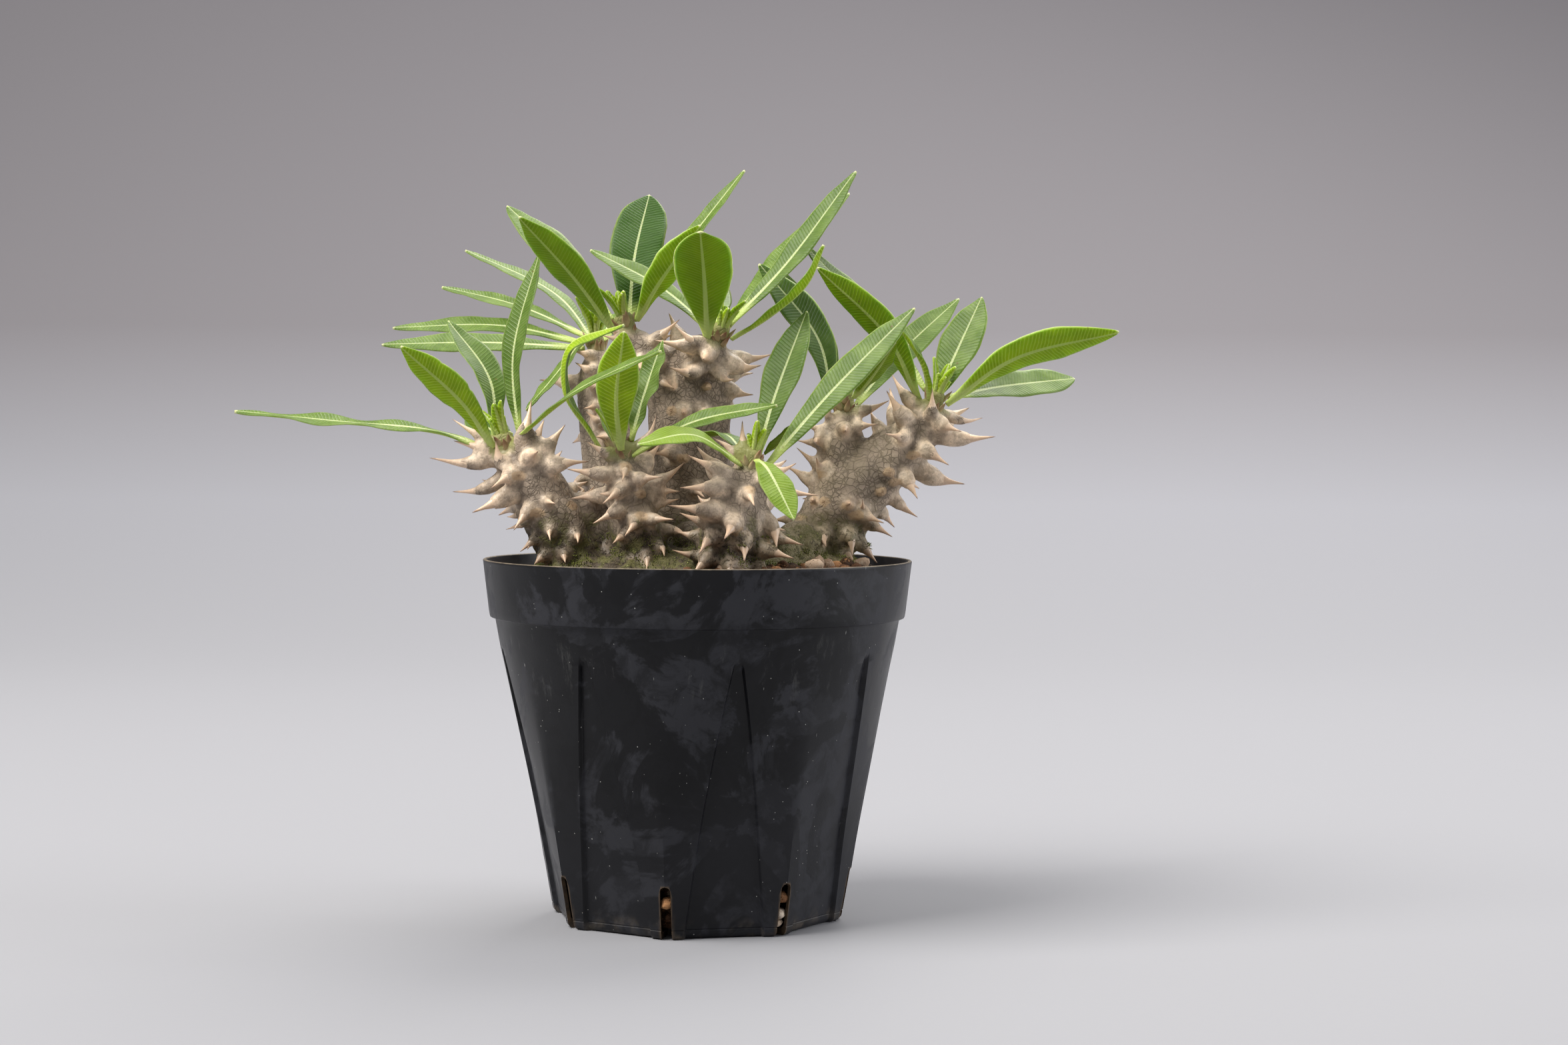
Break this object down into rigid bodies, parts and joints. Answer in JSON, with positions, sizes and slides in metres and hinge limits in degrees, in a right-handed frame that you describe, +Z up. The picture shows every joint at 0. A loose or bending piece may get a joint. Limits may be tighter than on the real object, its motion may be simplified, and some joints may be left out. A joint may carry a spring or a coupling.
{
  "type": "potted succulent plant",
  "caption": "Clump-forming thorned caudex plant with tapering leaves at its stem ends, growing in potting mix in a black slit-sided plastic nursery pot.",
  "frame": {"origin": "centre of the pot's flat underside", "axes": "+Z up along the pot's axis, -Y toward the front of the plant, +X to its right"},
  "size_m": [0.1822, 0.0952, 0.1583],
  "materials": {
    "pot_plastic": "black satin plastic with pale water marks, fine scratches and tan dust on the rim",
    "potting_mix": "loose red-brown grains with pale pumice",
    "bark": "grey-taupe crackled bark with pale bloom, tan thorns with dark tips",
    "leaf": "satin green blade with a pale midrib"
  },
  "bodies": {
    "root": {"pot": "pot_plastic", "soil": "potting_mix", "caudex_and_stems": "bark", "leaf_left_1": "leaf", "leaf_left_2": "leaf", "leaf_left_3": "leaf", "leaf_left_4": "leaf", "leaf_left_5": "leaf", "leaf_left_6": "leaf", "leaf_small_1": "leaf", "leaf_small_2": "leaf", "leaf_small_3": "leaf", "leaf_small_4": "leaf", "leaf_small_5": "leaf", "leaf_front_1": "leaf", "leaf_front_2": "leaf", "leaf_front_3": "leaf", "leaf_front_4": "leaf", "leaf_front_5": "leaf", "leaf_tall_fork_1": "leaf", "leaf_tall_fork_2": "leaf", "leaf_tall_fork_3": "leaf", "leaf_tall_fork_4": "leaf", "leaf_tall_fork_5": "leaf", "leaf_tall_1": "leaf", "leaf_tall_2": "leaf", "leaf_tall_3": "leaf", "leaf_tall_4": "leaf", "leaf_tall_5": "leaf", "leaf_tall_6": "leaf", "leaf_right_fork_1": "leaf", "leaf_right_fork_2": "leaf", "leaf_right_fork_3": "leaf", "leaf_right_fork_4": "leaf", "leaf_right_fork_5": "leaf", "leaf_right_1": "leaf", "leaf_right_2": "leaf", "leaf_right_3": "leaf", "leaf_right_4": "leaf", "leaf_right_5": "leaf", "leaf_right_6": "leaf", "leaf_back_1": "leaf", "leaf_back_2": "leaf", "leaf_back_3": "leaf", "leaf_back_4": "leaf", "leaf_back_5": "leaf", "leaf_back_6": "leaf"}
  },
  "joints": []
}
